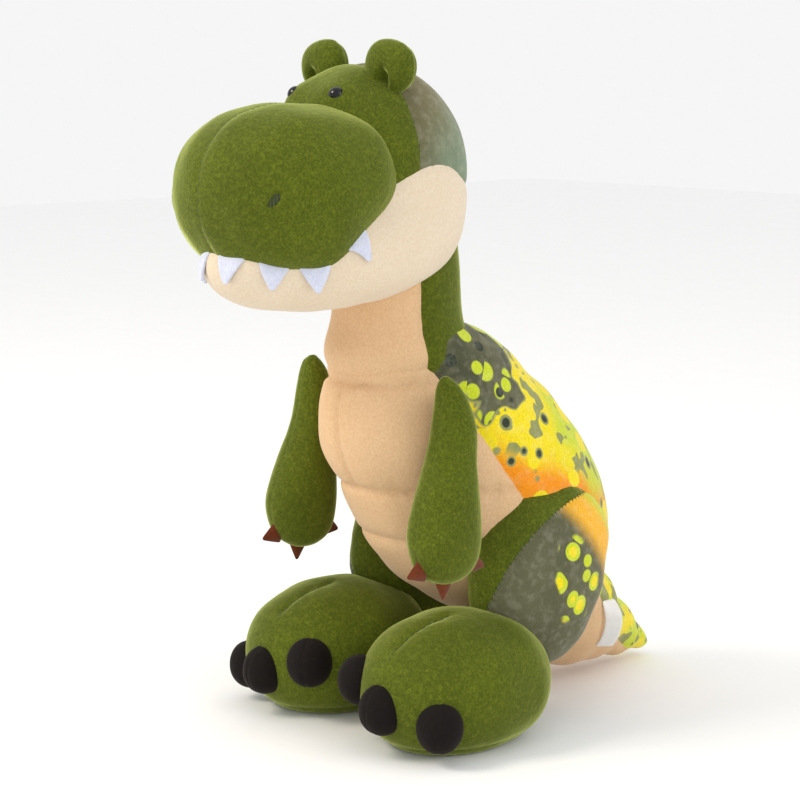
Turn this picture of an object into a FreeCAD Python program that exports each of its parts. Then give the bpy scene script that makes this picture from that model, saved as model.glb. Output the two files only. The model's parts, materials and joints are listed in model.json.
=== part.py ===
import FreeCAD, Part
import math
import os

# A stuffed toy dinosaur that stands on two big feet and its tail. Millimetres, +Z up.
# It faces -Y, so its own left side is at +X. All of it is mirror symmetric about X = 0
# except the care label. The origin is on the floor under the middle of its bounding box.

V = FreeCAD.Vector

# ---------------------------------------------------------------- driving sizes
SKIN = 2.0            # thickness of a plush panel with its pile
GAP = 0.3             # clearance kept between neighbouring pieces
JOINT_GAP = 0.6       # clearance kept between pieces on different moving bodies
FAR = 600.0           # side of the boxes that split a shape in two

NECK_Y = -7.0         # the neck is round, about a vertical line at this Y
NECK_BASE_Z = 230.0   # centre of the neck's lower ball, where it leans
NECK_TOP_Z = 287.0    # centre of the neck's upper ball, where the head turns
NECK_BASE_R = 40.0
NECK_TOP_R = 38.0
NECK_SEAM_Y = -17.0   # the front panel is ahead of this plane
TORSO_TOP = NECK_BASE_Z - 8.0

# The torso is a stack of ellipses: height, centre Y, half width (X), half depth (Y).
TORSO = (
    (50.0, 76.0, 19.0, 18.0),
    (57.0, 75.0, 35.0, 34.0),
    (70.0, 73.0, 51.0, 52.0),
    (92.0, 71.0, 62.0, 77.0),
    (115.0, 63.0, 66.0, 86.0),
    (140.0, 52.0, 64.0, 89.0),
    (165.0, 37.0, 58.0, 87.0),
    (188.0, 25.0, 52.0, 78.0),
    (207.0, 16.0, 46.5, 66.0),
    (TORSO_TOP, 8.0, 44.5, 57.0),
)
BELLY_SEAM_LOW = (42.0, 131.0)    # Y, Z of two points on the belly seam, seen from the side
BELLY_SEAM_HIGH = (-18.0, 221.0)

THIGH_C = (54.0, 61.0, 88.0)
THIGH_R = (28.0, 57.0, 59.0)
SHIELD_C = (88.0, 70.0)           # Y, Z centre of the printed side panel of the thigh
SHIELD_R = (79.0, 65.0)
SHIELD_INNER_X = 52.0             # the side panel lies outside this plane

FOOT_C = (53.0, -8.0, 35.0)
FOOT_R = (49.0, 60.0, 46.0)
SOLE = 2.5
TOE_R = 13.5
# Toe centres from the foot's middle: towards its outer side, forward, and their height.
TOES = {"inner": (-31.0, 50.0, 37.0), "middle": (0.0, 60.0, 28.0), "outer": (33.0, 45.5, 22.0)}

# The arm is a stack of ellipses like the torso, made upright below the shoulder.
ARM = (
    (97.0, -29.0, 8.0, 10.0),
    (104.0, -29.0, 15.5, 19.5),
    (114.0, -29.0, 18.5, 24.0),
    (127.0, -29.0, 20.0, 26.0),
    (141.0, -27.5, 19.5, 24.0),
    (155.0, -25.5, 18.0, 20.0),
    (167.0, -23.0, 16.0, 17.0),
    (180.0, -20.5, 14.5, 15.5),
    (192.0, -20.0, 13.0, 14.0),
    (204.0, -20.5, 11.5, 10.5),
    (212.0, -22.0, 7.0, 6.5),
)
SHOULDER = (62.5, -20.0, 203.0)   # the arm swings about the X line through this point
ARM_LEAN = 2.5                    # degrees that the arm hangs outward
CLAW_R = 4.6
CLAW_LENGTH = 11.0
# Each claw's root, Y and Z, and the degrees it points from straight down to the back.
CLAWS = ((-47.0, 106.0, -58.0), (-29.5, 98.5, -4.0), (-10.5, 106.0, 54.0))

TAIL_ROOT = (0.0, 122.0, 48.0)
TAIL_ROOT_R = 39.0
TAIL_TIP = (0.0, 205.0, 6.0)
TAIL_TIP_R = 6.0
TAIL_SEAM_DROP = 8.0              # the side seams run this far under the tail's middle line
LABEL = (0.6, 11.0, 31.0)
LABEL_TOP = (36.5, 134.0, 59.0)

CRANIUM_C = (0.0, -29.0, 325.0)
CRANIUM_R = (55.0, 60.0, 65.0)
MUZZLE_C = (0.0, -86.0, 318.0)
MUZZLE_R = (62.0, 62.0, 46.0)
JAW_C = (0.0, -57.0, 289.0)
JAW_R = (61.0, 88.0, 37.0)
JAW_TILT = 6.0                    # degrees that the jaw's front hangs down
CHEEK_SEAM_Z = 321.0              # pale jaw panel below, green and printed panels above
CROWN_SEAM_Y = -34.0              # forehead ahead, printed back of the head behind

EYE_C = (18.0, -66.0, 370.0)
EYE_R = 4.9
SHANK_R = 2.0
SHANK_LENGTH = 13.0
WASHER_R = 7.0
WASHER_THICKNESS = 1.5
WASHER_DEPTH = 7.0                # from the eye's centre to the washer
EAR_C = (29.0, -36.0, 387.5)
EAR_R = (17.0, 9.0, 16.0)
EAR_DISH_R = (11.5, 5.5, 11.0)
EAR_DISH_AHEAD = 6.5
EAR_TURN = 3.0                    # degrees that each ear opens outward
NOSTRIL_AT = (45.0, 3.0)          # degrees round from the front, and mm under the middle
NOSTRIL_R = (4.0, 1.6, 7.0)
TOOTH_ANGLES = (15.0, 43.0, 70.0, 95.0)
TOOTH = (17.0, 1.6, 19.0)         # width, felt thickness, length

# The box runs from the muzzle's front to the tail's tip; its middle becomes the origin.
FRONT_Y = MUZZLE_C[1] - MUZZLE_R[1]
BACK_Y = TAIL_TIP[1] + TAIL_TIP_R
MIDDLE_Y = (FRONT_Y + BACK_Y) / 2.0


# ---------------------------------------------------------------- helpers
def export(name, shape):
    """Write one node, moved so that the origin is under the middle of the toy."""
    solids = [s for s in shape.Solids if s.Volume > 1.0]
    if not solids:
        raise ValueError(name + " has no solid")
    moved = Part.makeCompound(solids) if len(solids) > 1 else solids[0]
    moved = moved.copy()
    moved.translate(V(0, -MIDDLE_Y, 0))
    moved.exportStep("parts/" + name + ".step")
    box = moved.BoundBox
    print("%-22s %d solid(s) %9.1f mm3  valid %s  z %.1f..%.1f"
          % (name, len(solids), moved.Volume, moved.isValid(), box.ZMin, box.ZMax))


def ellipsoid(centre, radii, grow=0.0, tilt=0.0, turn=0.0):
    """A ball stretched to three radii; tilt drops its front, turn is about Z."""
    stretch = FreeCAD.Matrix()
    stretch.scale(V(*[r + grow for r in radii]))
    shape = Part.makeSphere(1.0).transformGeometry(stretch)
    shape.rotate(V(0, 0, 0), V(1, 0, 0), tilt)
    shape.rotate(V(0, 0, 0), V(0, 0, 1), turn)
    shape.translate(V(*centre))
    return shape


def ellipse_wire(x, centre_y, z, half_x, half_y):
    stretch = FreeCAD.Matrix()
    stretch.scale(V(half_x, half_y, 1.0))
    wire = Part.Wire(Part.makeCircle(1.0)).transformGeometry(stretch)
    wire.translate(V(x, centre_y, z))
    return wire


def loft(x, rings, grow):
    """A smooth solid through a stack of level ellipses, all centred on the plane at x."""
    wires = [ellipse_wire(x, y, z, rx + grow, ry + grow) for z, y, rx, ry in rings]
    wires[0].translate(V(0, 0, -grow))
    wires[-1].translate(V(0, 0, grow))
    return Part.makeLoft(wires, True, False)


def ball_cone(start, start_r, end, end_r, grow=0.0):
    """Two balls of different size joined by the cone that touches both."""
    a, b = V(*start), V(*end)
    along = b - a
    length = along.Length
    along.normalize()
    big, small = start_r + grow, end_r + grow
    sine = (big - small) / length
    cosine = math.sqrt(1.0 - sine * sine)
    foot = a + along * (big * sine)
    height = length - (big - small) * sine
    cone = Part.makeCone(big * cosine, small * cosine, height, foot, along)
    return Part.makeSphere(big, a).fuse([Part.makeSphere(small, b), cone])


def hollow(form):
    """A form's skin: the space between its full size and its size without the skin."""
    inner = form(-SKIN).Shells[0].copy()
    inner.reverse()
    return Part.makeSolid(Part.makeCompound([form(0.0).Shells[0], inner]))


def block(low, high):
    return Part.makeBox(high[0] - low[0], high[1] - low[1], high[2] - low[2], V(*low))


def ahead_of(y):
    return block((-FAR, -FAR, -FAR), (FAR, y - GAP / 2, FAR))


def behind(y):
    return block((-FAR, y + GAP / 2, -FAR), (FAR, FAR, FAR))


def above(z):
    return block((-FAR, -FAR, z + GAP / 2), (FAR, FAR, FAR))


def below(z):
    return block((-FAR, -FAR, -FAR), (FAR, FAR, z - GAP / 2))


def left_half():
    return block((GAP / 2, -FAR, -FAR), (FAR, FAR, FAR))


def mirrored(shape):
    return shape.mirror(V(0, 0, 0), V(1, 0, 0))


def export_pair(name, shape):
    """Write a piece of the left side and its mirror image."""
    export(name.replace("SIDE", "left"), shape)
    export(name.replace("SIDE", "right"), mirrored(shape))


# ---------------------------------------------------------------- main volumes
def torso(grow):
    return loft(0.0, TORSO, grow)


def neck(grow):
    return ball_cone((0, NECK_Y, NECK_BASE_Z), NECK_BASE_R, (0, NECK_Y, NECK_TOP_Z), NECK_TOP_R, grow)


def thigh(grow):
    return ellipsoid(THIGH_C, THIGH_R, grow)


def foot(grow):
    return ellipsoid(FOOT_C, FOOT_R, grow)


def arm(grow):
    return loft(SHOULDER[0], ARM, grow)


def tail(grow):
    return ball_cone(TAIL_ROOT, TAIL_ROOT_R, TAIL_TIP, TAIL_TIP_R, grow)


def cranium(grow):
    return ellipsoid(CRANIUM_C, CRANIUM_R, grow)


def muzzle(grow):
    return ellipsoid(MUZZLE_C, MUZZLE_R, grow)


def jaw(grow):
    return ellipsoid(JAW_C, JAW_R, grow, tilt=JAW_TILT)


def head(grow):
    return cranium(grow).fuse(jaw(grow))


# ---------------------------------------------------------------- torso
def belly_side(in_front):
    """The space ahead of, or behind, the slanting seam beside the belly."""
    run = V(0, BELLY_SEAM_HIGH[0] - BELLY_SEAM_LOW[0], BELLY_SEAM_HIGH[1] - BELLY_SEAM_LOW[1])
    lean = math.degrees(math.atan2(-run.y, run.z))
    half = ahead_of(0.0) if in_front else behind(0.0)
    half.rotate(V(0, 0, 0), V(1, 0, 0), lean)
    half.translate(V(0, BELLY_SEAM_LOW[0], BELLY_SEAM_LOW[1]))
    return half


def build_torso():
    seats = [neck(JOINT_GAP), tail(JOINT_GAP)]
    skin = hollow(torso).cut(seats)
    fill = torso(-SKIN - GAP).cut(seats)
    export("torso_fill", fill)
    export("belly_panel", skin.common(belly_side(True)))
    back = skin.common(belly_side(False))
    export_pair("back_panel_SIDE", back.common(left_half()))


def build_neck():
    skin = hollow(neck)
    export("neck_fill", neck(-SKIN - GAP))
    export("neck_front_panel", skin.common(ahead_of(NECK_SEAM_Y)))
    export("neck_back_panel", skin.common(behind(NECK_SEAM_Y)))


# ---------------------------------------------------------------- legs
def shield_column(grow):
    """The part of the thigh's outer side that the printed panel covers."""
    stretch = FreeCAD.Matrix()
    stretch.scale(V(SHIELD_R[0] + grow, SHIELD_R[1] + grow, 1.0))
    column = Part.makeCylinder(1.0, FAR).transformGeometry(stretch)
    column.rotate(V(0, 0, 0), V(0, 0, 1), 90)
    column.rotate(V(0, 0, 0), V(0, 1, 0), 90)
    column.translate(V(SHIELD_INNER_X - grow, SHIELD_C[0], SHIELD_C[1]))
    return column


def build_leg():
    neighbours = [torso(GAP), foot(GAP), tail(JOINT_GAP)]
    skin = hollow(thigh).cut(neighbours)
    export_pair("thigh_fill_SIDE", thigh(-SKIN - GAP).cut(neighbours))
    export_pair("thigh_side_panel_SIDE", skin.common(shield_column(0.0)))
    export_pair("thigh_front_panel_SIDE", skin.cut(shield_column(GAP)))


def build_foot():
    sole_slab = block((-FAR, -FAR, 0.0), (FAR, FAR, SOLE))
    export_pair("foot_sole_SIDE", foot(0.0).common(sole_slab))
    export_pair("foot_upper_SIDE", hollow(foot).common(above(SOLE)))
    export_pair("foot_fill_SIDE", foot(-SKIN - GAP).common(above(SOLE)))
    clear = foot(GAP)
    # Each ball is turned so that the sphere's own seam edge is away from the foot.
    for place, (out, forward, height) in TOES.items():
        ball = Part.makeSphere(TOE_R)
        ball.rotate(V(0, 0, 0), V(0, 0, 1), math.degrees(math.atan2(-forward, out)))
        ball.translate(V(FOOT_C[0] + out, FOOT_C[1] - forward, height))
        export_pair("toe_%s_SIDE" % place, ball.cut(clear))


# ---------------------------------------------------------------- arms
def claws():
    """Three felt cones round the lower end of the arm, in the arm's swing plane."""
    cones = []
    for y, z, degrees in CLAWS:
        angle = math.radians(degrees)
        way = V(0, math.sin(angle), -math.cos(angle))
        cones.append(Part.makeCone(CLAW_R, 0.8, CLAW_LENGTH, V(SHOULDER[0], y, z), way))
    return Part.makeCompound(cones).cut(arm(GAP))


def leaning(shape):
    """Tip an upright arm piece outward about the shoulder."""
    shape = shape.copy()
    shape.rotate(V(*SHOULDER), V(0, 1, 0), -ARM_LEAN)
    return shape


def build_arm():
    cover = hollow(arm)
    outer_half = block((SHOULDER[0] + GAP / 2, -FAR, -FAR), (FAR, FAR, FAR))
    inner_half = block((-FAR, -FAR, -FAR), (SHOULDER[0] - GAP / 2, FAR, FAR))
    export_pair("arm_cover_outer_SIDE", leaning(cover.common(outer_half)))
    export_pair("arm_cover_inner_SIDE", leaning(cover.common(inner_half)))
    export_pair("arm_fill_SIDE", leaning(arm(-SKIN - GAP)))
    export_pair("claws_SIDE", leaning(claws()))


# ---------------------------------------------------------------- tail
def tail_half(upper):
    """The space above or below the tail's side seams."""
    drop = math.atan2(TAIL_ROOT[2] - TAIL_TIP[2], TAIL_TIP[1] - TAIL_ROOT[1])
    half = above(0.0) if upper else below(0.0)
    half.rotate(V(0, 0, 0), V(1, 0, 0), -math.degrees(drop))
    half.translate(V(0, TAIL_ROOT[1], TAIL_ROOT[2] - TAIL_SEAM_DROP))
    return half


def build_tail():
    skin = hollow(tail)
    export("tail_fill", tail(-SKIN - GAP))
    export("tail_top_panel", skin.common(tail_half(True)))
    export("tail_under_panel", skin.common(tail_half(False)))
    x, y, z = LABEL_TOP
    label = Part.makeBox(LABEL[0], LABEL[1], LABEL[2], V(x, y - LABEL[1] / 2, z - LABEL[2]))
    export("care_label", label.cut(tail(GAP)))


# ---------------------------------------------------------------- head
def outward(point, centre, radii):
    """The outward direction of an ellipsoid's surface at a point on it."""
    way = V(*[(p - c) / (r * r) for p, c, r in zip(point, centre, radii)])
    way.normalize()
    return way


def eye_parts(grow):
    """Dome, shank and the washer that holds it from inside."""
    way = outward(EYE_C, CRANIUM_C, CRANIUM_R)
    at = V(*EYE_C)
    dome = Part.makeSphere(EYE_R + grow, at)
    shank = Part.makeCylinder(SHANK_R + grow, SHANK_LENGTH + grow, at, way * -1)
    washer_at = at - way * (WASHER_DEPTH - grow)
    washer = Part.makeCylinder(WASHER_R + grow, WASHER_THICKNESS + 2 * grow, washer_at, way * -1)
    return dome.fuse(shank), washer


def nostril():
    angle = math.radians(NOSTRIL_AT[0])
    drop = NOSTRIL_AT[1] / MUZZLE_R[2]
    ring = math.sqrt(1.0 - drop * drop)
    at = (MUZZLE_R[0] * ring * math.sin(angle),
          MUZZLE_C[1] - MUZZLE_R[1] * ring * math.cos(angle),
          MUZZLE_C[2] - NOSTRIL_AT[1])
    patch = ellipsoid((0, 0, 0), NOSTRIL_R)
    patch.rotate(V(0, 0, 0), V(0, 1, 0), 40)
    patch.rotate(V(0, 0, 0), V(0, 0, 1), NOSTRIL_AT[0])
    patch.translate(V(*at))
    return patch.cut(muzzle(GAP / 2))


def jaw_radius(angle, z):
    """How far the jaw reaches from the muzzle's vertical line, at a height and an angle."""
    tilt = math.radians(JAW_TILT)

    def inside(reach):
        x = reach * math.sin(angle)
        y = MUZZLE_C[1] - reach * math.cos(angle) - JAW_C[1]
        up = z - JAW_C[2]
        along = y * math.cos(tilt) + up * math.sin(tilt)
        across = up * math.cos(tilt) - y * math.sin(tilt)
        return (x / JAW_R[0]) ** 2 + (along / JAW_R[1]) ** 2 + (across / JAW_R[2]) ** 2 < 1.0

    reach = 20.0
    while inside(reach):
        reach += 0.25
    return reach


def muzzle_radius(z):
    """How far the muzzle reaches from its vertical line, at a height."""
    height = (z - MUZZLE_C[2]) / MUZZLE_R[2]
    return MUZZLE_R[0] * math.sqrt(max(0.0, 1.0 - height * height))


def lip(angle):
    """Height and reach of the seam where the muzzle meets the jaw."""
    z = MUZZLE_C[2]
    while muzzle_radius(z) > jaw_radius(angle, z):
        z -= 0.25
    return z, jaw_radius(angle, z)


def tooth(degrees):
    """A felt triangle that hangs from the lip, just outside the jaw."""
    angle = math.radians(degrees)
    z, reach = lip(angle)
    width, thickness, length = TOOTH
    top = z + 2.0
    stand = reach + 1.0
    corners = [V(-width / 2, 0, top), V(width / 2, 0, top), V(0, 0, top - length)]
    wire = Part.makePolygon(corners + [corners[0]])
    plate = Part.Face(wire).extrude(V(0, -thickness, 0))
    plate.translate(V(0, -stand, 0))
    plate.rotate(V(0, 0, 0), V(0, 0, 1), degrees)
    plate.translate(V(0, MUZZLE_C[1], 0))
    return plate.cut([muzzle(GAP), head(GAP)])


def ear_parts():
    shell = ellipsoid(EAR_C, EAR_R, turn=EAR_TURN)
    turn = math.radians(EAR_TURN)
    dish_at = (EAR_C[0] + EAR_DISH_AHEAD * math.sin(turn),
               EAR_C[1] - EAR_DISH_AHEAD * math.cos(turn),
               EAR_C[2])
    dish = ellipsoid(dish_at, EAR_DISH_R, turn=EAR_TURN)
    lining = dish.cut(ellipsoid(dish_at, EAR_DISH_R, -1.2, turn=EAR_TURN)).common(shell)
    clear = ellipsoid(dish_at, EAR_DISH_R, GAP, turn=EAR_TURN)
    skull = cranium(GAP)
    return shell.cut([clear, skull]), lining.cut(skull)


def build_head():
    neck_cup = neck(JOINT_GAP)
    eye, washer = eye_parts(0.0)
    eye_hole, washer_hole = eye_parts(GAP)
    holes = [eye_hole, mirrored(eye_hole)]
    washer_holes = [washer_hole, mirrored(washer_hole)]
    skin = head(0.0).cut(head(-SKIN)).cut([muzzle(GAP), neck_cup] + holes)
    fill = head(-SKIN - GAP).fuse(muzzle(-SKIN - GAP))
    export("head_fill", fill.cut([neck_cup] + holes + washer_holes))
    export("jaw_panel", skin.common(below(CHEEK_SEAM_Z)))
    crown = skin.common(above(CHEEK_SEAM_Z))
    export("forehead_panel", crown.common(ahead_of(CROWN_SEAM_Y)))
    export("head_back_panel", crown.common(behind(CROWN_SEAM_Y)))
    muzzle_skin = hollow(muzzle).cut([head(GAP / 2), neck_cup] + holes)
    export_pair("muzzle_panel_SIDE", muzzle_skin.common(left_half()))
    export_pair("eye_SIDE", eye)
    export_pair("eye_washer_SIDE", washer.cut(eye_hole))
    export_pair("nostril_SIDE", nostril())
    outer_ear, ear_lining = ear_parts()
    export_pair("ear_SIDE", outer_ear)
    export_pair("ear_lining_SIDE", ear_lining)
    export_pair("teeth_SIDE", Part.makeCompound([tooth(d) for d in TOOTH_ANGLES]))


def main():
    os.makedirs("parts", exist_ok=True)
    build_torso()
    build_neck()
    build_leg()
    build_foot()
    build_arm()
    build_tail()
    build_head()


main()
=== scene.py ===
import json
import math

import bmesh
import bpy
import numpy as np
from mathutils import Matrix, Vector
from mathutils.bvhtree import BVHTree


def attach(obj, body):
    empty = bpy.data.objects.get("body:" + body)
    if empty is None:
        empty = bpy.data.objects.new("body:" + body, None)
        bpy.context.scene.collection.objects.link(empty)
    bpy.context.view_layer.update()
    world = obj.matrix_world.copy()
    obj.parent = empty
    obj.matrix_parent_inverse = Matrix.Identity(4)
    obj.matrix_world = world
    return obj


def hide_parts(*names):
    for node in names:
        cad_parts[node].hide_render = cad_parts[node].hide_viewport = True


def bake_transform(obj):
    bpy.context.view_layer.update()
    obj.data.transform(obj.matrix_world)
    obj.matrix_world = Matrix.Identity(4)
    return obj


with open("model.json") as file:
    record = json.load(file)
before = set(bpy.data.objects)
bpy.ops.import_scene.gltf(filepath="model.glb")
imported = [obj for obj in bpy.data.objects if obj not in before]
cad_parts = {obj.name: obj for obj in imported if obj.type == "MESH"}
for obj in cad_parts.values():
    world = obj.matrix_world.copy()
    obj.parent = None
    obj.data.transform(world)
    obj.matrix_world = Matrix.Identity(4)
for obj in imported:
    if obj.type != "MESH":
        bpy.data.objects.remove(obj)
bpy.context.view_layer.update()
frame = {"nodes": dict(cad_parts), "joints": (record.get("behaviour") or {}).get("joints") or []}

# A stuffed toy dinosaur. Shapes are worked out in the toy's own millimetres: X to the toy's
# left, Y backward from the middle line of its neck, Z up from the floor. to_row() turns them
# into the frame's metres.

JOINTS = {joint["name"]: Vector(joint["pos_m"]) for joint in frame["joints"]}
NECK_LINE_Y = JOINTS["neck_lean"].y
MM = 0.001

SIDES = {"left": 1.0, "right": -1.0}


def to_row(points):
    """Toy millimetres to the frame's metres."""
    row = np.asarray(points, float) * MM
    row[:, 1] += NECK_LINE_Y
    return row


def to_toy(points):
    """The frame's metres to toy millimetres."""
    toy = np.array(points, float)
    toy[:, 1] -= NECK_LINE_Y
    return toy / MM


def row_point(point):
    """One toy point in the frame's metres."""
    return to_row([point])[0]


def unit(vector):
    return vector / np.linalg.norm(vector)


def rotated(first, second, degrees):
    """Two coordinates after a turn from the first axis towards the second."""
    angle = math.radians(degrees)
    return (first * math.cos(angle) - second * math.sin(angle),
            first * math.sin(angle) + second * math.cos(angle))


def ramp(value, low, high):
    """0 below low, 1 above high, smooth between. low may be above high."""
    t = np.clip((value - low) / (high - low), 0.0, 1.0)
    return t * t * (3.0 - 2.0 * t)


# ------------------------------------------------------------------ mesh helpers
def add_object(name, data):
    made = bpy.data.objects.new(name, data)
    bpy.context.scene.collection.objects.link(made)
    return made


def new_object(name, vertices, faces):
    mesh = bpy.data.meshes.new(name)
    mesh.from_pydata([tuple(v) for v in vertices], [], faces)
    mesh.update()
    return add_object(name, mesh)


def read(items, key):
    """One vector of each mesh item, as rows of numbers."""
    flat = np.zeros(len(items) * 3, np.float64)
    items.foreach_get(key, flat)
    return flat.reshape(-1, 3)


def points_of(piece):
    return read(piece.data.vertices, "co")


def normals_of(piece):
    return read(piece.data.vertices, "normal")


def set_points(piece, points):
    piece.data.vertices.foreach_set("co", np.asarray(points, np.float64).ravel())
    piece.data.update()


def shown_mesh(piece):
    """The piece's mesh with its modifiers applied."""
    graph = bpy.context.evaluated_depsgraph_get()
    return bpy.data.meshes.new_from_object(piece.evaluated_get(graph))


def apply_modifiers(piece):
    mesh = shown_mesh(piece)
    piece.modifiers.clear()
    piece.data = mesh


def remesh(piece, voxel):
    modifier = piece.modifiers.new("remesh", "REMESH")
    modifier.mode = "VOXEL"
    modifier.voxel_size = voxel * MM
    apply_modifiers(piece)


def smooth(piece, rounds):
    modifier = piece.modifiers.new("smooth", "SMOOTH")
    modifier.iterations = rounds
    modifier.factor = 0.5
    apply_modifiers(piece)


def refine(piece):
    modifier = piece.modifiers.new("refine", "SUBSURF")
    modifier.levels = 1
    apply_modifiers(piece)


def shade_smooth(piece):
    for face in piece.data.polygons:
        face.use_smooth = True


# ------------------------------------------------------------------ starting shapes
def ball(name, centre, radii, power=2.0, upright=None, detail=5, bend=None):
    """A closed rounded form: power 2 is an ellipsoid and more is boxier, seen from above and,
    with upright, seen from the side. bend moves its points."""
    upright = upright or power
    form = bmesh.new()
    bmesh.ops.create_icosphere(form, subdivisions=detail, radius=1.0)
    way = np.array([tuple(v.co) for v in form.verts])
    faces = [[v.index for v in f.verts] for f in form.faces]
    form.free()
    level = (np.abs(way[:, :2]) ** power).sum(1) ** (1.0 / power)
    size = (level ** upright + np.abs(way[:, 2]) ** upright) ** (1.0 / upright)
    points = way / size[:, None] * np.array(radii) + np.array(centre)
    if bend is not None:
        points = bend(points)
    return new_object(name, to_row(points), faces)


def turns(around):
    """The cosine and sine at each point of a ring."""
    angles = [2.0 * math.pi * k / around for k in range(around)]
    return [(math.cos(angle), math.sin(angle)) for angle in angles]


def tube_faces(levels, around, first=0):
    """Faces of a closed tube: the walls between its rings, and both ends."""
    faces = []
    for level in range(levels - 1):
        for k in range(around):
            a = first + level * around + k
            b = first + level * around + (k + 1) % around
            faces.append((a, b, b + around, a + around))
    last = first + (levels - 1) * around
    faces.append(tuple(reversed(range(first, first + around))))
    faces.append(tuple(range(last, last + around)))
    return faces


def stack(name, rings, around=64):
    """A closed form through level ellipses: height, centre Y, half width, half depth and, where
    it isn't 0, centre X."""
    points = []
    for z, y, half_x, half_y, *x in rings:
        for cos, sin in turns(around):
            points.append((sum(x) + half_x * cos, y + half_y * sin, z))
    return new_object(name, to_row(points), tube_faces(len(rings), around))


def smooth_rings(rings, steps=6):
    """More rings between the given ones, on a smooth curve through them."""
    rings = np.array(rings, float)
    count = len(rings)
    made = []
    for k in range(count - 1):
        before = rings[max(k - 1, 0)]
        after = rings[min(k + 2, count - 1)]
        for step in range(steps):
            t = step / steps
            a, b = rings[k], rings[k + 1]
            made.append(0.5 * (2 * a + (b - before) * t + (2 * before - 5 * a + 4 * b - after) * t ** 2
                               + (3 * a - before - 3 * b + after) * t ** 3))
    made.append(rings[-1])
    return made


def join(name, pieces):
    """Several closed forms as one mesh, ready for remeshing into one skin."""
    form = bmesh.new()
    for piece in pieces:
        form.from_mesh(piece.data)
    mesh = bpy.data.meshes.new(name)
    form.to_mesh(mesh)
    form.free()
    for piece in pieces:
        bpy.data.objects.remove(piece)
    return add_object(name, mesh)


# ------------------------------------------------------------------ stuffing and seams
class Seam:
    """A sewn line on a stuffed form: where field is 0, as far as where() is above a half."""

    def __init__(self, field, where=None, depth=1.6, width=3.2, pucker=0.35, panel=True):
        self.field = field
        self.where = where or (lambda p: np.ones(len(p)))
        self.depth = depth
        self.width = width
        self.pucker = pucker
        self.panel = panel

    def closeness(self, toy, reach):
        return np.exp(-np.abs(self.field(toy) / reach) ** 1.5) * self.where(toy)


def plane_field(point, normal):
    """Distance of each point ahead of a plane."""
    normal = unit(np.array(normal, float))
    return lambda p: (p - np.array(point, float)) @ normal


CLOTH_FRAMES = 20
CLOTH_PRESSURE = 1400.0    # high, because these forms are small and round
FIRM_DEPTH = 1.2           # a seam at least this deep holds the fabric fully
HOLD_REACH = 3.0           # how far beside it a seam holds the fabric


def fill_up(piece, seams, cap):
    """Swell the form under its fabric by a cloth simulation that its seams hold back."""
    start = points_of(piece)
    toy = to_toy(start)
    hold = np.zeros(len(toy))
    for seam in seams:
        firm = min(1.0, seam.depth / FIRM_DEPTH)
        hold = np.maximum(hold, seam.closeness(toy, HOLD_REACH) * firm)
    group = piece.vertex_groups.new(name="seams")
    for index, weight in enumerate(hold):
        if weight > 0.02:
            group.add([index], float(weight), "REPLACE")
    cloth = piece.modifiers.new("cloth", "CLOTH")
    settings = cloth.settings
    settings.quality = 5
    settings.mass = 0.01
    settings.use_pressure = True
    settings.uniform_pressure_force = CLOTH_PRESSURE
    settings.effector_weights.gravity = 0.0
    settings.vertex_group_mass = "seams"
    settings.tension_stiffness = 3.0
    settings.compression_stiffness = 3.0
    settings.shear_stiffness = 1.0
    settings.bending_stiffness = 0.5
    cloth.collision_settings.use_collision = False
    for step in range(1, CLOTH_FRAMES + 1):
        bpy.context.scene.frame_set(step)
    mesh = shown_mesh(piece)
    move = read(mesh.vertices, "co") - start
    length = np.linalg.norm(move, axis=1)
    most = cap * MM
    soft = most * np.tanh(length / most)
    move *= (soft / np.maximum(length, 1e-9))[:, None]
    piece.modifiers.clear()
    piece.vertex_groups.clear()
    bpy.data.meshes.remove(mesh)
    bpy.context.scene.frame_set(1)
    set_points(piece, start + move)


def uneven(points, seed, scale):
    """A smooth random number for each point, -1 to 1, with features of about scale."""
    random = np.random.default_rng(seed)
    total = np.zeros(len(points))
    for wave in range(7):
        way = random.normal(size=3)
        way *= 2.0 * math.pi / scale * random.uniform(0.6, 1.5) / np.linalg.norm(way)
        total += np.sin(points @ way + random.uniform(0, 2.0 * math.pi))
    return total / 4.0


def sew(piece, seams, seed, lumps=0.5):
    """Sink each seam into the form, with small puckers beside it, and cut the mesh along it.
    The cut's points go into the mesh attribute sewn, as 1 plus the seam's number, and the
    places of all points before they are moved go into unsewn."""
    form = bmesh.new()
    form.from_mesh(piece.data)
    mark = form.verts.layers.int.new("sewn")
    for number, seam in enumerate(seams):
        cut(form, seam, mark, number + 1)
    form.to_mesh(piece.data)
    form.free()
    piece.data.update()
    row = points_of(piece)
    piece.data.attributes.new("unsewn", "FLOAT_VECTOR", "POINT").data.foreach_set("vector", row.ravel())
    toy = to_toy(row)
    normal = normals_of(piece)
    depth = np.zeros(len(toy))
    for number, seam in enumerate(seams):
        beside = uneven(toy, seed * 10 + number, 7.0) * seam.pucker
        line = seam.closeness(toy, seam.width)
        shoulder = seam.closeness(toy, seam.width * 2.6) - line
        depth += seam.depth * (line * (1.0 + 0.3 * beside) - shoulder * beside * 0.55)
    depth += uneven(toy, seed * 10 + 9, 34.0) * lumps
    set_points(piece, row - normal * (depth * MM)[:, None])


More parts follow.
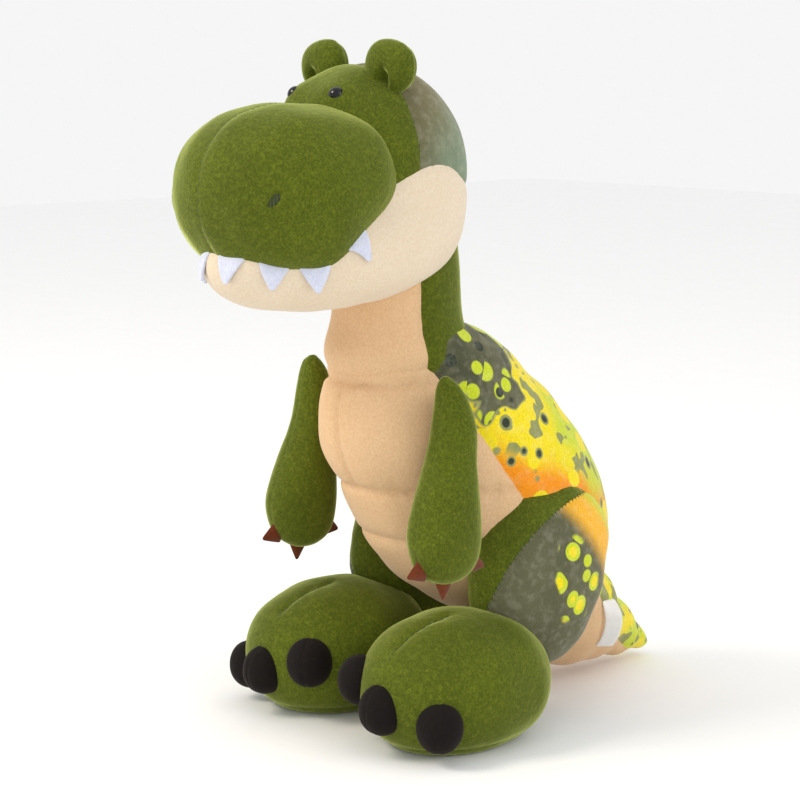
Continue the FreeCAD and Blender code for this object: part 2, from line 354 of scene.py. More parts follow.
def cut(form, seam, mark, number):
    """Give the mesh edges exactly along a seam."""
    near = 0.25
    form.verts.ensure_lookup_table()
    toy = to_toy(np.array([tuple(v.co) for v in form.verts]))
    field = seam.field(toy)
    inside = seam.where(toy) > 0.5
    value = {}
    for vertex, distance, here in zip(form.verts, field, inside):
        on_it = abs(distance) < near
        value[vertex] = 0.0 if on_it else float(distance)
        if on_it and here:
            vertex[mark] = number
    for edge in list(form.edges):
        a, b = edge.verts
        if value[a] * value[b] < 0.0:
            here = inside[a.index] and inside[b.index]
            if not (here or seam.panel):
                continue
            share = value[a] / (value[a] - value[b])
            _, vertex = bmesh.utils.edge_split(edge, a, share)
            value[vertex] = 0.0
            if here:
                vertex[mark] = number
    for face in list(form.faces):
        corners = face.verts
        zero = [k for k, v in enumerate(corners) if value[v] == 0.0]
        if len(zero) == 2 and 1 < zero[1] - zero[0] < len(corners) - 1:
            bmesh.utils.face_split(face, corners[zero[0]], corners[zero[1]])
    form.verts.index_update()


def split_panels(piece, fields, names, heart):
    """Part the form into its panels, as separate closed pieces. A face belongs to the first panel
    whose field is below 0 there, or else to the last. Faces to one point, the heart of the
    stuffing, close every panel inside."""
    mesh = piece.data
    unsewn = read(mesh.attributes["unsewn"].data, "vector")
    centres = np.array([unsewn[list(face.vertices)].mean(0) for face in mesh.polygons])
    centres = to_toy(centres)
    labels = np.full(len(centres), len(fields))
    for number in reversed(range(len(fields))):
        labels[fields[number](centres) < 0] = number
    made = []
    for number, name in enumerate(names):
        form = bmesh.new()
        form.from_mesh(mesh)
        form.faces.ensure_lookup_table()
        gone = [f for f, panel in zip(form.faces, labels) if panel != number]
        bmesh.ops.delete(form, geom=gone, context="FACES")
        rim = [e for e in form.edges if len(e.link_faces) == 1]
        middle = form.verts.new(row_point(heart))
        for edge in rim:
            edge.smooth = False
            loop = edge.link_loops[0]
            form.faces.new((loop.link_loop_next.vert, loop.vert, middle))
        for face in form.faces:
            face.smooth = middle not in face.verts
        panel_mesh = bpy.data.meshes.new(name)
        form.to_mesh(panel_mesh)
        form.free()
        made.append(add_object(name, panel_mesh))
    bpy.data.objects.remove(piece)
    return made


# ------------------------------------------------------------------ materials
def linear(red, green, blue):
    """A colour as it looks on screen, 0 to 255, in the linear values that a shader takes."""
    def channel(value):
        value /= 255.0
        return value / 12.92 if value <= 0.04045 else ((value + 0.055) / 1.055) ** 2.4
    return (channel(red), channel(green), channel(blue), 1.0)


class Shader:
    """A material's node tree, with short names for the nodes that the toy's fabrics use."""

    def __init__(self, name):
        self.material = bpy.data.materials.new(name)
        self.material.use_nodes = True
        self.tree = self.material.node_tree
        self.surface = self.tree.nodes["Principled BSDF"]
        self.place = self.tree.nodes.new("ShaderNodeTexCoord").outputs["Object"]

    def node(self, kind, **inputs):
        made = self.tree.nodes.new(kind)
        for key, value in inputs.items():
            self.feed(made.inputs[key.replace("_", " ")], value)
        return made

    def feed(self, socket, value):
        if isinstance(value, bpy.types.NodeSocket):
            self.tree.links.new(value, socket)
        else:
            socket.default_value = value

    def set(self, **inputs):
        """Give the surface's inputs their values or the outputs of nodes."""
        for key, value in inputs.items():
            self.feed(self.surface.inputs[key.replace("_", " ")], value)

    def moved(self, shift, stretch=(1.0, 1.0, 1.0)):
        """The place on the toy, moved away so that no two patterns are alike."""
        mapping = self.node("ShaderNodeMapping", Vector=self.place, Location=shift, Scale=stretch)
        return mapping.outputs["Vector"]

    def noise(self, size, detail=2.0, stretch=(1.0, 1.0, 1.0), shift=0.0):
        """Soft noise, 0 to 1, whose patches are about size millimetres wide."""
        place = self.moved((shift, shift * 0.7, shift * 1.3), stretch)
        made = self.node("ShaderNodeTexNoise", Vector=place, Scale=1.0 / (size * MM), Detail=detail)
        return made.outputs["Fac"]

    def patches(self, size, detail, shift, low, high):
        """Noise as patches: 0 outside, 1 inside, with edges between low and high."""
        return self.step(self.noise(size, detail, shift=shift), low, high)

    def dots(self, size, share, shift=0.0):
        """Round spots, 1 inside: cells of size millimetres, radius share of a cell."""
        place = self.moved((shift, shift * 0.6, shift * 1.7))
        cells = self.node("ShaderNodeTexVoronoi", Vector=place, Scale=1.0 / (size * MM))
        parts = self.node("ShaderNodeSeparateColor", Color=cells.outputs["Color"])
        reach = self.math("MULTIPLY_ADD", parts.outputs["Red"], share * 0.5, share * 0.5)
        inside = self.math("SUBTRACT", reach, cells.outputs["Distance"])
        return self.step(inside, 0.0, 0.06)

    def math(self, operation, first, second=0.0, third=0.0):
        made = self.tree.nodes.new("ShaderNodeMath")
        made.operation = operation
        for socket, value in zip(made.inputs, (first, second, third)):
            self.feed(socket, value)
        return made.outputs["Value"]

    def step(self, value, low, high):
        """0 below low and 1 above high, smooth between."""
        made = self.node("ShaderNodeMapRange", Value=value, From_Min=low, From_Max=high)
        made.interpolation_type = "SMOOTHSTEP"
        return made.outputs["Result"]

    def mix(self, share, first, second):
        made = self.tree.nodes.new("ShaderNodeMix")
        made.data_type = "RGBA"
        self.feed(made.inputs["Factor"], share)
        self.feed(made.inputs[6], first)
        self.feed(made.inputs[7], second)
        return made.outputs[2]

    def tint(self, color, share, strength, other):
        """The colour with some of another in it, where share is above 0."""
        return self.mix(self.math("MULTIPLY", share, strength), color, other)

    def vector(self, operation, first, second):
        made = self.tree.nodes.new("ShaderNodeVectorMath")
        made.operation = operation
        self.feed(made.inputs[0], first)
        self.feed(made.inputs[1], second)
        return made.outputs

    def off(self, point):
        """The way here from a toy point."""
        return self.vector("SUBTRACT", self.place, tuple(row_point(point)))["Vector"]

    def distance(self, point, stretch=(1.0, 1.0, 1.0)):
        """Millimetres from a toy point, with each direction stretched first."""
        scaled = self.vector("MULTIPLY", self.off(point), tuple(s / MM for s in stretch))["Vector"]
        return self.vector("LENGTH", scaled, (0.0, 0.0, 0.0))["Value"]

    def beyond(self, point, way):
        """Millimetres ahead of the plane through a toy point, in the direction way."""
        return self.vector("DOT_PRODUCT", self.off(point), tuple(w / MM for w in way))["Value"]

    def wobble(self, value, size, reach, shift):
        """A distance with soft noise added, up to about reach millimetres either way."""
        soft = self.math("SUBTRACT", self.noise(size, 0.5, shift=shift), 0.5)
        return self.math("MULTIPLY_ADD", soft, reach * 4.0, value)

    def bump(self, height, strength, distance, under=None):
        made = self.node("ShaderNodeBump", Height=height, Strength=strength, Distance=distance * MM)
        if under is not None:
            self.feed(made.inputs["Normal"], under)
        return made.outputs["Normal"]


WHITE = (1.0, 1.0, 1.0, 1.0)


def set_cloth_surface(shader, color, rough, sheen, sheen_rough, sheen_tint=WHITE, specular=0.25):
    shader.set(Base_Color=color, Roughness=rough, Specular_IOR_Level=specular, Sheen_Weight=sheen,
               Sheen_Roughness=sheen_rough, Sheen_Tint=sheen_tint)


def pile_bump(shader, pile, strength=0.5):
    """The short pile: fine fibre tips, and soft patches where the pile has been brushed over."""
    brushed = shader.bump(shader.noise(9.0, 3.0, shift=2.0), 0.35, 1.4)
    clumps = shader.bump(shader.noise(2.2, 2.0, shift=5.0), strength * 0.6, 0.5, brushed)
    shader.set(Normal=shader.bump(shader.noise(pile, 2.0, shift=1.0), strength, 0.35, clumps))


def plush(name, deep, main, light, sheen=0.55, tint=WHITE, pile=0.8, contrast=1.0):
    """Short pile: faint broad shading, brushed patches and fine fibre grain."""
    shader = Shader(name)
    deep = linear(*deep)
    color = shader.tint(linear(*main), shader.patches(45.0, 1.0, 0.0, 0.38, 0.66), 0.22 * contrast, deep)
    brushed = shader.patches(3.4, 4.0, 3.0, 0.42, 0.72)
    color = shader.tint(color, brushed, 0.16 * contrast, linear(*light))
    color = shader.tint(color, shader.patches(1.3, 3.0, 7.0, 0.32, 0.68), 0.55 * contrast, deep)
    set_cloth_surface(shader, color, 0.88, sheen, 0.32, tint)
    pile_bump(shader, pile)
    return shader.material


def printed_plush(name, pattern):
    """Short pile with a printed pattern: pattern() gives the print's colour."""
    shader = Shader(name)
    grain = shader.patches(1.0, 2.0, 7.0, 0.30, 0.72)
    color = shader.tint(pattern(shader), grain, 0.20, linear(40, 42, 25))
    color = shader.tint(color, shader.patches(5.0, 4.0, 3.0, 0.42, 0.75), 0.08, linear(255, 250, 225))
    set_cloth_surface(shader, color, 0.86, 0.25, 0.4, (1.0, 0.98, 0.88, 1.0))
    pile_bump(shader, 0.8, 0.42)
    return shader.material


GRAY_PRINT = linear(100, 100, 74)
DEEP_GRAY_PRINT = linear(76, 78, 56)
CLOUD_PRINT = linear(150, 154, 92)
YELLOW_PRINT = linear(248, 226, 26)
LIME_PRINT = linear(206, 220, 44)
ORANGE_PRINT = linear(250, 152, 20)
AMBER_PRINT = linear(252, 188, 52)
DARK_PRINT = linear(52, 60, 48)


def spotted(shader, color, size, share, spot, shift, ring=None):
    """The colour with round spots on it, and a ring round each when ring is given."""
    if ring is not None:
        color = shader.mix(shader.dots(size, share * 1.45, shift), color, ring)
    return shader.mix(shader.dots(size, share, shift), color, spot)


def back_print(shader):
    """Gray shoulders with a lobed edge, yellow that turns lime towards the tail, and orange
    low down beside the belly, all with spots."""
    shoulders = shader.wobble(shader.distance((0, 20, 232), (0.0, 1.0, 1.0)), 15.0, 12.0, 0.4)
    belly_edge = shader.wobble(shader.beyond((0, 50, 157), (0.0, -0.40, -0.92)), 30.0, 7.0, 1.4)
    rear = shader.wobble(shader.beyond((0, 88, 160), (0.0, 1.0, 0.0)), 22.0, 14.0, 2.2)
    color = shader.mix(shader.step(rear, -14.0, 14.0), YELLOW_PRINT, LIME_PRINT)
    color = shader.mix(shader.step(belly_edge, -14.0, 6.0), color, ORANGE_PRINT)
    clouds = shader.patches(13.0, 1.0, 6.1, 0.59, 0.61)
    color = shader.tint(color, clouds, shader.step(belly_edge, 0.0, -8.0), CLOUD_PRINT)
    color = spotted(shader, color, 21.0, 0.56, YELLOW_PRINT, 3.3)
    color = spotted(shader, color, 15.0, 0.26, DARK_PRINT, 1.1, CLOUD_PRINT)
    shade = shader.mix(shader.patches(30.0, 2.0, 4.0, 0.4, 0.7), GRAY_PRINT, DEEP_GRAY_PRINT)
    shade = spotted(shader, shade, 17.0, 0.50, LIME_PRINT, 8.2)
    shade = spotted(shader, shade, 14.0, 0.34, DARK_PRINT, 5.5)
    color = shader.mix(shader.step(shoulders, 45.0, 42.0), color, CLOUD_PRINT)
    return shader.mix(shader.step(shoulders, 42.0, 40.5), color, shade)


def tail_print(shader):
    """Yellow and lime with gray-green clouds and dark spots."""
    color = shader.mix(shader.patches(20.0, 2.0, 1.0, 0.4, 0.6), YELLOW_PRINT, LIME_PRINT)
    color = shader.mix(shader.patches(13.0, 1.5, 3.7, 0.55, 0.57), color, CLOUD_PRINT)
    return spotted(shader, color, 14.0, 0.3, DARK_PRINT, 2.0)


SPOTS_AT = (80, 70, 88)      # the middle of the spots on each thigh


def thigh_print(shader):
    """Gray side panel with a cluster of lime spots, and an orange glow at its upper back."""
    color = shader.tint(GRAY_PRINT, shader.patches(40.0, 1.0, 1.9, 0.35, 0.7), 0.3, DEEP_GRAY_PRINT)
    cluster = shader.wobble(shader.distance(SPOTS_AT, (0.0, 1.0, 0.72)), 14.0, 4.0, 5.2)
    near = shader.step(cluster, 20.0, 17.0)
    for share, spot in ((0.64, LIME_PRINT), (0.40, YELLOW_PRINT)):
        color = shader.tint(color, shader.dots(13.0, share, 0.9), near, spot)
    glow = shader.beyond((0, 88, 104), (0.0, 0.785, 0.62))
    color = shader.mix(shader.step(glow, -8.0, 6.0), color, AMBER_PRINT)
    return shader.mix(shader.step(glow, 12.0, 26.0), color, LIME_PRINT)


def crown_print(shader):
    """Brownish gray at the top of the head, greener and paler lower down at the back."""
    fade = shader.beyond((0, 0, 352), (0.0, 0.55, -0.83))
    dark = linear(96, 92, 62)
    color = shader.mix(shader.step(fade, -26.0, 22.0), linear(126, 118, 84), linear(124, 142, 116))
    seam = shader.step(shader.beyond((0, -27, 350), (0.0, 1.0, 0.0)), 22.0, 0.0)
    color = shader.tint(color, seam, 0.7, dark)
    return shader.tint(color, shader.patches(26.0, 1.0, 2.6, 0.42, 0.68), 0.15, dark)


def felt(name, main, deep):
    """Matted fibres, a little darker in patches."""
    shader = Shader(name)
    fibres = shader.step(shader.noise(0.7, 4.0, (1.0, 1.0, 0.4)), 0.35, 0.7)
    color = shader.tint(linear(*main), fibres, 0.45, linear(*deep))
    color = shader.tint(color, shader.patches(3.0, 3.0, 4.0, 0.4, 0.65), 0.30, linear(*deep))
    set_cloth_surface(shader, color, 0.95, 0.25, 0.5)
    low = shader.bump(shader.noise(3.0, 3.0, shift=2.0), 0.4, 0.5)
    shader.set(Normal=shader.bump(shader.noise(0.6, 4.0), 0.6, 0.25, low))
    return shader.material


def thread(name, main, deep):
    """Shiny twisted thread: fine ridges across the stitches, with painted shade darkening the grooves
    between them.
    """
    shader = Shader(name)
    ridges = shader.node("ShaderNodeTexWave", Vector=shader.place, Scale=260.0, Distortion=1.5, Detail=1.0)
    twist_and_groove_shade = ridges.outputs["Fac"]
    # painted shade: the colour turns to the deep tone in the grooves between the twist's ridges, the low
    # points of the bump below
    color = shader.mix(twist_and_groove_shade, linear(*deep), linear(*main))
    set_cloth_surface(shader, color, 0.5, 0.2, 0.4, specular=0.5)
    shader.set(Normal=shader.bump(twist_and_groove_shade, 0.6, 0.2))
    return shader.material


def satin():
    """The blank label: a tight weave with a soft shine."""
    shader = Shader("satin")
    warp = shader.node("ShaderNodeTexWave", Vector=shader.place, Scale=900.0).outputs["Fac"]
    faded = shader.step(shader.noise(6.0, 2.0), 0.35, 0.7)
    color = shader.tint(linear(244, 244, 242), faded, 0.4, linear(226, 226, 228))
    color = shader.tint(color, warp, 0.12, linear(200, 200, 204))
    set_cloth_surface(shader, color, 0.42, 0.1, 0.3, specular=0.5)
    shader.set(Normal=shader.bump(warp, 0.25, 0.1))
    return shader.material


def eye_plastic():
    """Polished black, with faint dust and hairline marks in the gloss."""
    shader = Shader("eye_plastic")
    dust = shader.noise(1.2, 3.0)
    shader.set(Base_Color=shader.mix(dust, linear(2, 2, 2), linear(9, 8, 8)),
               Roughness=shader.math("MULTIPLY_ADD", dust, 0.10, 0.04), Coat_Weight=0.2,
               Specular_IOR_Level=0.3, Normal=shader.bump(shader.noise(5.0, 1.0), 0.05, 0.1))
    return shader.material


def moulded_plastic():
    """The eyes' washers: pale and slightly grainy."""
    shader = Shader("moulded_plastic")
    grain = shader.noise(1.0, 3.0)
    shader.set(Base_Color=shader.mix(grain, linear(225, 225, 218), linear(200, 200, 194)),
               Roughness=shader.math("MULTIPLY_ADD", grain, 0.2, 0.4), Normal=shader.bump(grain, 0.2, 0.1))
    return shader.material


def make_fabrics():
    return {
        "green": plush("green_plush", (48, 56, 0), (90, 102, 12), (146, 156, 50), 0.95,
                       (0.86, 0.95, 0.30, 1.0)),
        "tan": plush("tan_velboa", (196, 152, 108), (224, 188, 146), (238, 208, 172), 0.25,
                     (1.0, 0.93, 0.82, 1.0), 0.6, 0.6),
        "cream": plush("cream_plush", (206, 182, 150), (228, 212, 188), (244, 234, 220), 0.30,
                       (1.0, 0.97, 0.93, 1.0), 0.8, 0.6),
        "dark": plush("dark_plush", (8, 3, 2), (17, 10, 8), (38, 26, 22), 0.10, (0.6, 0.42, 0.36, 1.0)),
        "back": printed_plush("back_print", back_print),
        "tail": printed_plush("tail_print", tail_print),
        "thigh": printed_plush("thigh_print", thigh_print),
        "crown": printed_plush("crown_print", crown_print),
        "thread": thread("thread", (96, 112, 30), (60, 74, 14)),
        "dark_thread": thread("dark_thread", (66, 80, 18), (36, 46, 8)),
        "brown_felt": felt("brown_felt", (114, 50, 16), (76, 32, 8)),
        "white_felt": felt("white_felt", (216, 219, 236), (190, 194, 214)),
        "satin": satin(),
        "eye": eye_plastic(),
        "washer": moulded_plastic(),
    }


FABRICS = make_fabrics()


# ------------------------------------------------------------------ shared steps of a stuffed part
SWELL = 4.0    # millimetres that a panel may bulge out between its seams


def stuffed(name, forms, voxel, seams, seed, swell=SWELL, lumps=0.5, rounds=3):
    """One stuffed form: join, remesh, fill up, refine and sew."""
    form = join(name, forms)
    remesh(form, voxel)
    smooth(form, rounds)
    fill_up(form, seams, swell)
    refine(form)
    sew(form, seams, seed, lumps)
    return form


def dress(piece, fabric, replaced=()):
    piece.data.materials.clear()
    piece.data.materials.append(FABRICS[fabric])
    if replaced:
        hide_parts(*replaced)


def finish(piece, body, fabric, replaced=()):
    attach(piece, body)
    dress(piece, fabric, replaced)


def right(name):
    return name.replace("left", "right")


def finish_both(piece, body, fabric, replaced=()):
    """Finish a left piece and its mirror copy, which has right for left in all its names."""
    mesh = piece.data.copy()
    mesh.name = right(piece.name)
    mesh.transform(Matrix.Scale(-1.0, 4, Vector((1.0, 0.0, 0.0))))
    mesh.flip_normals()
    other = add_object(right(piece.name), mesh)
    finish(piece, body, fabric, replaced)
    finish(other, right(body), fabric, [right(node) for node in replaced])


def seam_path(form, number):
    """Points and outward directions along a sewn line, in order, before the panels are split."""
    mesh = form.data
    sewn = np.zeros(len(mesh.vertices), np.int32)
    mesh.attributes["sewn"].data.foreach_get("value", sewn)
    links = {}
    for edge in mesh.edges:
        a, b = edge.vertices
        if sewn[a] == number and sewn[b] == number:
            links.setdefault(a, []).append(b)
            links.setdefault(b, []).append(a)
    paths = []
    left = set(links)
    while left:
        ends = sorted(v for v in left if len(links[v]) == 1)
        here = ends[0] if ends else min(left)
        path = [here]
        left.discard(here)
        while True:
            ahead = sorted(v for v in links[here] if v in left)
            if not ahead:
                break
            here = ahead[0]
            left.discard(here)
            path.append(here)
        paths.append(path)
    longest = max(paths, key=len)
    return points_of(form)[longest], normals_of(form)[longest]


STITCH_WINDOW = 9.0    # millimetres of the line over which a stitch's upward direction is averaged


def stitches(name, form, number, pitch, length, radius, skip=0.0, slant=0.0):
    """A row of thread stitches lying in a sewn line, or at slant degrees across it."""
    line, normal = seam_path(form, number)
    steps = np.linalg.norm(np.diff(line, axis=0), axis=1)
    run = np.concatenate([[0.0], np.cumsum(steps)])

    def point_at(distance):
        return np.array([np.interp(distance, run, line[:, k]) for k in range(3)])

    vertices, faces = [], []
    for at in np.arange(skip * MM, run[-1] - skip * MM, pitch * MM):
        near = np.abs(run - at) < STITCH_WINDOW * 0.5 * MM
        up = unit(normal[near].mean(0))
        half = length * 0.5 * MM
        along = unit(point_at(at + half) - point_at(at - half))
        lie = rotated(along, np.cross(up, along), -slant)[0]
        bar(vertices, faces, point_at(at), lie, np.cross(up, lie), up, length * MM, radius * MM)
    piece = new_object(name, vertices, faces)
    shade_smooth(piece)
    return piece


def bar(vertices, faces, middle, along, across, up, length, radius, around=8):
    """Add one rounded stitch to the vertices and faces."""
    profile = ((-0.5, 0.25), (-0.42, 0.75), (-0.2, 1.0), (0.2, 1.0), (0.42, 0.75), (0.5, 0.25))
    faces += tube_faces(len(profile), around, len(vertices))
    for share, size in profile:
        for cos, sin in turns(around):
            vertices.append(middle + along * share * length + (across * cos + up * sin) * radius * size)


# ------------------------------------------------------------------ torso and neck
TORSO_RINGS = (
    (50, 88, 16, 14), (56, 86, 30, 28), (70, 82, 46, 46), (92, 78, 59, 73),
    (115, 70, 63, 83), (140, 58.5, 61, 86.5), (165, 42.5, 56, 85.5), (188, 30.5, 50, 76.5),
    (207, 22, 45, 64), (217, 18, 43, 57), (224, 13, 41, 51), (233, 5, 38, 41),
    (240, 0, 30, 32),
)
BELLY_SEAM = plane_field((0, 49, 131), (0, 0.832, 0.555))
BELLY_LINES = ((207.0, 2.3), (143.0, 2.1), (112.0, 0.9))    # height and depth of each crease
CREASE_WIDTH = 1.7


def on_belly(p):
    return ramp(BELLY_SEAM(p), 1.5, -1.5)


def to_right(p):
    """How far on the toy's right side a point is."""
    return -p[:, 0]


def torso_seams():
    """The belly's edge, the spine, the level creases and the upright crease between two of them."""
    seams = [Seam(BELLY_SEAM, depth=1.2, width=2.4, pucker=0.7),
             Seam(to_right, lambda p: 1.0 - on_belly(p), depth=1.2, width=2.4)]
    for height, depth in BELLY_LINES:
        seams.append(Seam(plane_field((0, 0, height), (0, 0, 1)), on_belly, depth=depth,
                          width=CREASE_WIDTH, pucker=0.7, panel=False))
    low, high = BELLY_LINES[1][0], BELLY_LINES[0][0]

    def between(p):
        return on_belly(p) * ramp(p[:, 2], low - 2.0, low + 3.0) * ramp(p[:, 2], high + 2.0, high - 3.0)

    seams.append(Seam(to_right, between, depth=2.0, width=CREASE_WIDTH, panel=False))
    return seams


def build_torso():
    body = stack("torso_form", smooth_rings(TORSO_RINGS))
    form = stuffed("torso_form", [body], 4.4, torso_seams(), 11, swell=5.0, lumps=0.8)
    names = ["belly", "back_left", "back_right"]
    belly, *backs = split_panels(form, [BELLY_SEAM, to_right], names, (0, 60, 140))
    finish(belly, "torso", "tan", ["belly_panel", "torso_fill"])
    for back, side in zip(backs, SIDES):
        finish(back, "torso", "back", ["back_panel_" + side])


NECK_RINGS = (
    (206, 4, 34, 38), (214, 4, 41, 46), (222, 3, 42, 46), (232, 1, 38, 40), (245, 0, 36, 36.5),
    (262, 0, 35.5, 35.5), (280, 0, 35, 35), (296, 0, 33, 33), (304, 0, 22, 22),
)
NECK_SEAM = plane_field((0, -10, 0), (0, 1, 0))
NECK_BEND = [(0, 0, 226), (0, 0, 285)]    # two points on the neck's middle line, not used to bend the neck


def build_neck():
    tube = stack("neck_form", smooth_rings(NECK_RINGS))
    seams = [Seam(NECK_SEAM, depth=1.8, width=2.8, pucker=0.6)]
    form = stuffed("neck_form", [tube], 4.0, seams, 12, swell=2.5, lumps=0.9)
    front, back = split_panels(form, [NECK_SEAM], ["neck_front", "neck_back"], (0, 0, 255))
    for piece in (front, back):
        to_row(NECK_BEND)
        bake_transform(piece)
    dress(front, "tan", ["neck_front_panel", "neck_fill"])
    dress(back, "green", ["neck_back_panel"])


# ------------------------------------------------------------------ head
CRANIUM = ((0, -22, 325), (52, 57, 62))
JAW = ((0, -50, 289), (59, 85, 34))
JAW_TILT = 6.0
CHIN_NARROWS = 0.16     # share of its width that the jaw loses towards the chin
CHEEK_Z = 310.0
CHEEK_ARCH = (-14.0, 22.0, 38.0)    # Y, height and length of the seam's arch over the cheek
CROWN_SEAM = plane_field((0, -27, 350), (0, 1, 0))
EYE = np.array((18.0, -59.0, 370.0))
EYE_R = 4.9
EYE_STANDS = 1.7     # millimetres that the eye's dome stands out of the fabric
EYE_SEAT = 10.0      # how far round the eye the fabric is drawn level


def jaw_shape(points):
    """Drops the jaw's front about its centre and narrows it towards the chin."""
    centre = np.array(JAW[0], float)
    off = points - centre
    narrow = 1.0 - CHIN_NARROWS * ramp(points[:, 1], -62.0, -108.0)
    y, z = rotated(off[:, 1], off[:, 2], JAW_TILT)
    return np.stack([off[:, 0] * narrow, y, z], 1) + centre


def cheek_seam(p):
    """Height above the seam between the pale jaw and the top of the head, arched over the cheek."""
    y, height, length = CHEEK_ARCH
    return p[:, 2] - (CHEEK_Z + height * np.exp(-((p[:, 1] - y) / length) ** 2))


def seat_eyes(form):
    """Draw the fabric level round each eye, so that no more than its dome stands out."""
    row = points_of(form)
    for sign in SIDES.values():
        side = np.array((sign, 1.0, 1.0))
        out = unit((EYE - np.array(CRANIUM[0])) / np.array(CRANIUM[1]) ** 2 * side)
        off = to_toy(row) - EYE * side
        height = off @ out
        beside = np.linalg.norm(off - np.outer(height, out), axis=1)
        near = np.exp(-(beside / EYE_SEAT) ** 2) * (np.abs(height) < 14.0)
        row += np.outer((EYE_R - EYE_STANDS - height) * near * MM, out)
    set_points(form, row)


def build_head():
    skull = ball("skull", *CRANIUM, power=2.1)
    jaw = ball("jaw", *JAW, power=2.1, bend=jaw_shape)
    seams = [Seam(cheek_seam, depth=0.9, width=2.2, pucker=0.7),
             Seam(CROWN_SEAM, lambda p: ramp(cheek_seam(p), -1.0, 1.0), depth=0.8, width=2.0, pucker=0.7)]
    form = stuffed("head_form", [skull, jaw], 4.2, seams, 21, lumps=0.6, rounds=14)
    seat_eyes(form)
    finish(stitches("crown_stitches", form, 2, 4.6, 2.6, 0.42, skip=3.0), "head", "thread")
    skin = surface_of(form)
    names = ["jaw", "forehead", "head_back"]
    jaw, forehead, crown = split_panels(form, [cheek_seam, CROWN_SEAM], names, (0, -30, 305))
    finish(jaw, "head", "cream", ["jaw_panel", "head_fill"])
    finish(forehead, "head", "green", ["forehead_panel"])
    finish(crown, "head", "crown", ["head_back_panel"])
    return skin


# ------------------------------------------------------------------ muzzle
MUZZLE = ((0, -79, 317), (60, 60, 45))
MOUTH_PULL = 0.26         # share that the muzzle's lower rear is drawn in
NOSTRIL_ANGLE = 45.0      # degrees round from the front
NOSTRIL_Z = 316.5
NOSTRIL_TILT = 40.0       # degrees that its top leans back
NOSTRIL_SIZE = (2.6, 4.8)
NOSTRIL_ROWS = 13
CAST_FROM = 130.0         # millimetres from the muzzle's middle line, well outside the head


def around_muzzle(degrees, reach, z):
    """The toy point at that distance from the muzzle's upright middle line."""
    angle = math.radians(degrees)
    return np.array((reach * math.sin(angle), MUZZLE[0][1] - reach * math.cos(angle), z))


def surface_of(piece):
    return BVHTree.FromPolygons([tuple(v) for v in points_of(piece)],
                                [tuple(f.vertices) for f in piece.data.polygons])


def cast(tree, degrees, z):
    """Where a level line from outside to the muzzle's middle line meets a surface: reach and normal."""
    start = row_point(around_muzzle(degrees, CAST_FROM, z))
    way = row_point(around_muzzle(degrees, 0.0, z)) - start
    hit, normal, _, distance = tree.ray_cast(Vector(start), Vector(way).normalized(), CAST_FROM * MM)
    if hit is None:
        return 0.0, None
    return CAST_FROM - distance / MM, normal


def nostril_axes(form, degrees):
    """Centre, sideways, long and outward directions of a nostril on the muzzle."""
    reach, normal = cast(surface_of(form), degrees, NOSTRIL_Z)
    centre = row_point(around_muzzle(degrees, reach, NOSTRIL_Z))
    out = np.array(normal)
    back = unit(np.cross(np.array((0.0, 0.0, 1.0)), out))
    back *= math.copysign(1.0, back[0] * degrees)
    up = np.cross(out, back)
    up *= math.copysign(1.0, up[2])
    short_way, long_way = rotated(back, up, NOSTRIL_TILT)
    return centre, short_way, long_way, out


def build_nostrils(form):
    """Embroidered ovals of satin stitches, sunk in the pile, which stands up round them."""
    for side, sign in SIDES.items():
        centre, short_way, long_way, out = nostril_axes(form, sign * NOSTRIL_ANGLE)
        row = points_of(form)
        off = (row - centre) / MM
        ring = np.hypot(off @ short_way / NOSTRIL_SIZE[0], off @ long_way / NOSTRIL_SIZE[1])
        sink = 2.0 * np.exp(-ring ** 4) - 0.7 * np.exp(-((ring - 1.7) / 0.45) ** 2)
        near = np.linalg.norm(off, axis=1) < 20.0
        set_points(form, row - np.outer(sink * near * MM, out))
        vertices, faces = [], []
        for k in range(NOSTRIL_ROWS):
            share = (k - (NOSTRIL_ROWS - 1) / 2) / (NOSTRIL_ROWS / 2)
            middle = centre + (long_way * share * NOSTRIL_SIZE[1] - out * 1.3) * MM
            width = 2.0 * NOSTRIL_SIZE[0] * math.sqrt(1.0 - share * share)
            bar(vertices, faces, middle, short_way, long_way, out, width * MM, 0.45 * MM)
        patch = new_object("nostril_%s_thread" % side, vertices, faces)
        shade_smooth(patch)
        finish(patch, "head", "dark_thread", ["nostril_" + side])


def muzzle_shape(points):
    """Draws the muzzle's lower rear in towards the corners of the mouth."""
    rear = ramp(points[:, 1], -90.0, -45.0)
    low = ramp(points[:, 2], 324.0, 292.0)
    pull = 1.0 - MOUTH_PULL * rear * low
    middle_y = MUZZLE[0][1]
    return np.stack([points[:, 0] * pull, middle_y + (points[:, 1] - middle_y) * pull, points[:, 2]], 1)


def build_muzzle():
    snout = ball("snout", *MUZZLE, power=2.3, upright=2.7, bend=muzzle_shape)
    form = stuffed("muzzle_form", [snout], 4.2, [Seam(to_right, depth=0.5, width=2.0, pucker=0.9)], 22,
                   lumps=0.7)
    finish(stitches("muzzle_stitches", form, 1, 4.2, 2.4, 0.4), "head", "thread")
    build_nostrils(form)
    skin = surface_of(form)
    halves = split_panels(form, [to_right], ["muzzle_left", "muzzle_right"], (0, -79, 319))
    for half, side in zip(halves, SIDES):
        finish(half, "head", "green", ["muzzle_panel_" + side])
    return skin


# ------------------------------------------------------------------ teeth
# Degrees round from the front, lean of the tip, and size.
TEETH = ((15.0, -3.0, 1.0), (43.0, -2.0, 0.92), (69.0, 3.0, 0.96), (95.0, 6.0, 0.72))
TOOTH_WIDTH = 20.5
TOOTH_LENGTH = 18.5
TOOTH_ROOT = 5.0      # how far a tooth's root reaches above the lip
TOOTH_GRID = (9, 7)   # rows down and points across
FELT = 1.8


